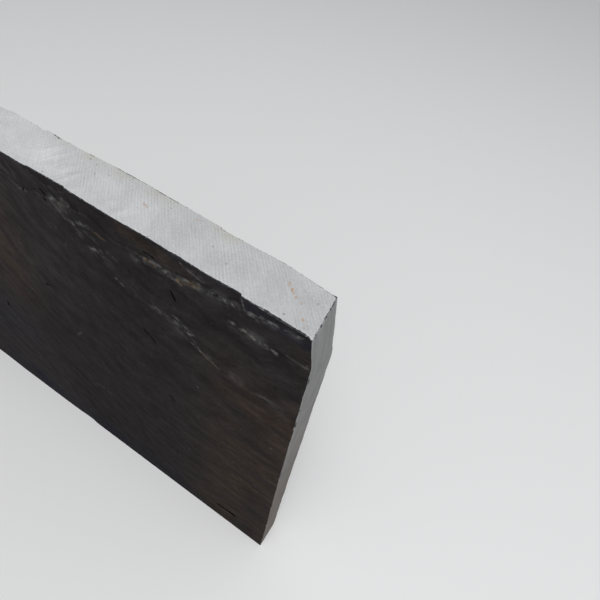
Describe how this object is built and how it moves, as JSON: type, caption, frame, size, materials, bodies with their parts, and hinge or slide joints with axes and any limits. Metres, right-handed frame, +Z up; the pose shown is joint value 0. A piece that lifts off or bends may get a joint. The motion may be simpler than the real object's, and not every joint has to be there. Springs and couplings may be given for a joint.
{
  "type": "slate slab",
  "caption": "Rectangular slab of dark slate with riven faces and pale sawn edges, standing on a long edge; paving, hearth or walling stone.",
  "frame": {"origin": "centre of the bottom of the slab's box, on the surface it stands on", "axes": "+X along the slab's length to the end whose cut leans in at the top, +Y from the front riven face to the back one, +Z up"},
  "size_m": [0.9, 0.04, 0.6],
  "materials": {
    "slate": "riven faces, sawn edges, dry"
  },
  "bodies": {
    "root": {"slab": "slate"}
  },
  "joints": []
}
